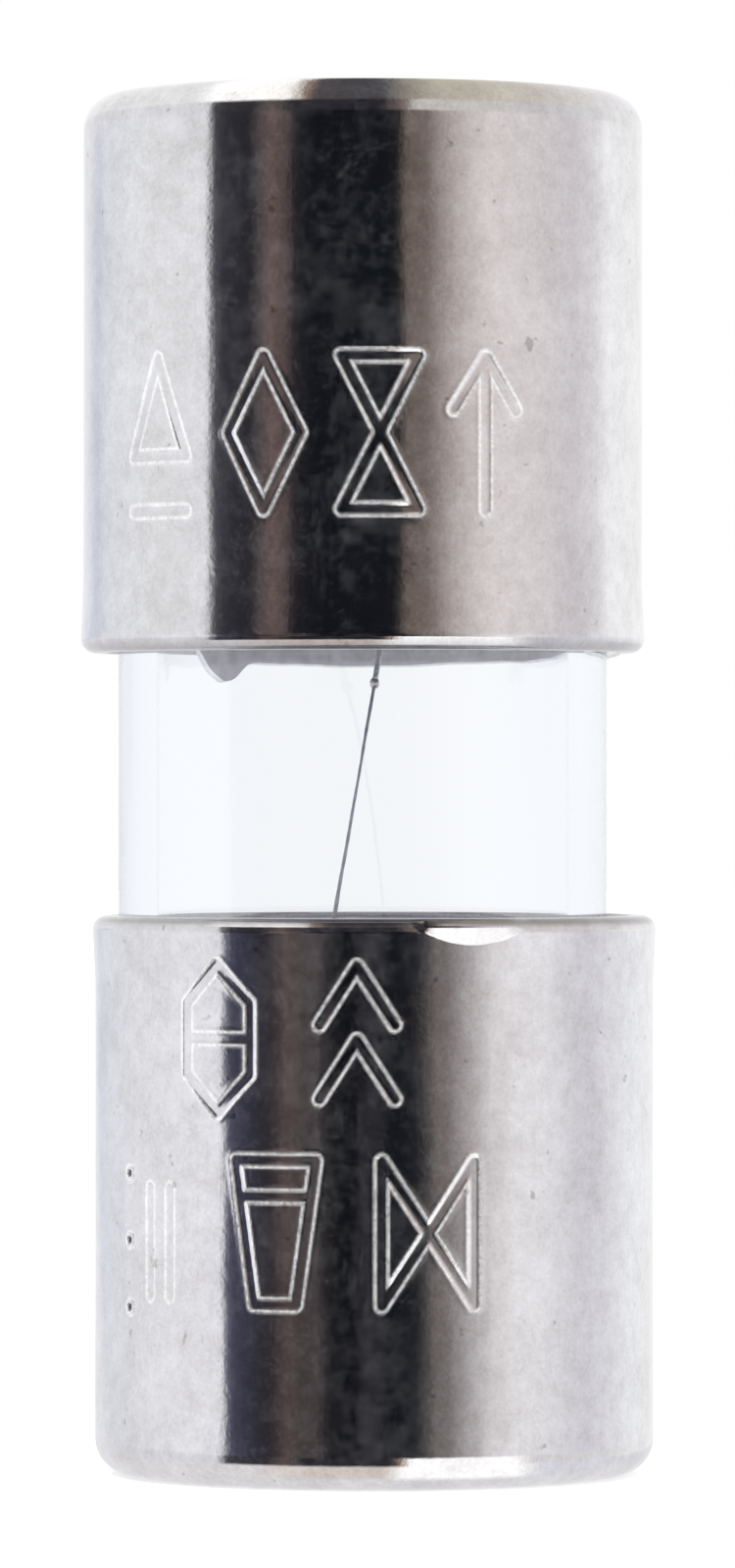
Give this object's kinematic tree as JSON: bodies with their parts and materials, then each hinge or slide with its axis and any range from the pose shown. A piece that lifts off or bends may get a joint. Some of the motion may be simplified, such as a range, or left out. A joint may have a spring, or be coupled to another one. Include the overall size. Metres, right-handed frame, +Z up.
{
  "type": "cartridge fuse",
  "caption": "Short glass cartridge fuse: clear round tube with a fine fusible wire soldered between two nickel-plated metal end caps.",
  "frame": {"origin": "centre of the bounding box's bottom face, on the outside of the lower cap's end", "axes": "+Z up along the fuse from the lower cap to the upper cap, -Y the front, +X to the right seen from the front"},
  "size_m": [0.0066, 0.0064, 0.0157],
  "materials": {
    "plated_cap": "bright nickel plate, slightly blotchy, with fine draw lines",
    "clear_glass": "clear, smooth, faintly blue",
    "fuse_wire": "fine drawn wire, dull grey",
    "lead_wire": "tinned wire, bright on one side",
    "solder": "smooth satin solder",
    "cement": "hard grey-white cement, slightly translucent where it was squeezed out"
  },
  "bodies": {
    "root": {"glass_tube": "clear_glass", "upper_cap": "plated_cap", "lower_cap": "plated_cap", "fuse_element": "fuse_wire", "upper_lead_wire": "lead_wire", "lower_lead_wire": "lead_wire", "upper_joint_bead": "solder", "lower_joint_bead": "solder", "upper_solder": "solder", "lower_solder": "solder", "upper_cement": "cement", "lower_cement": "cement"}
  },
  "joints": []
}
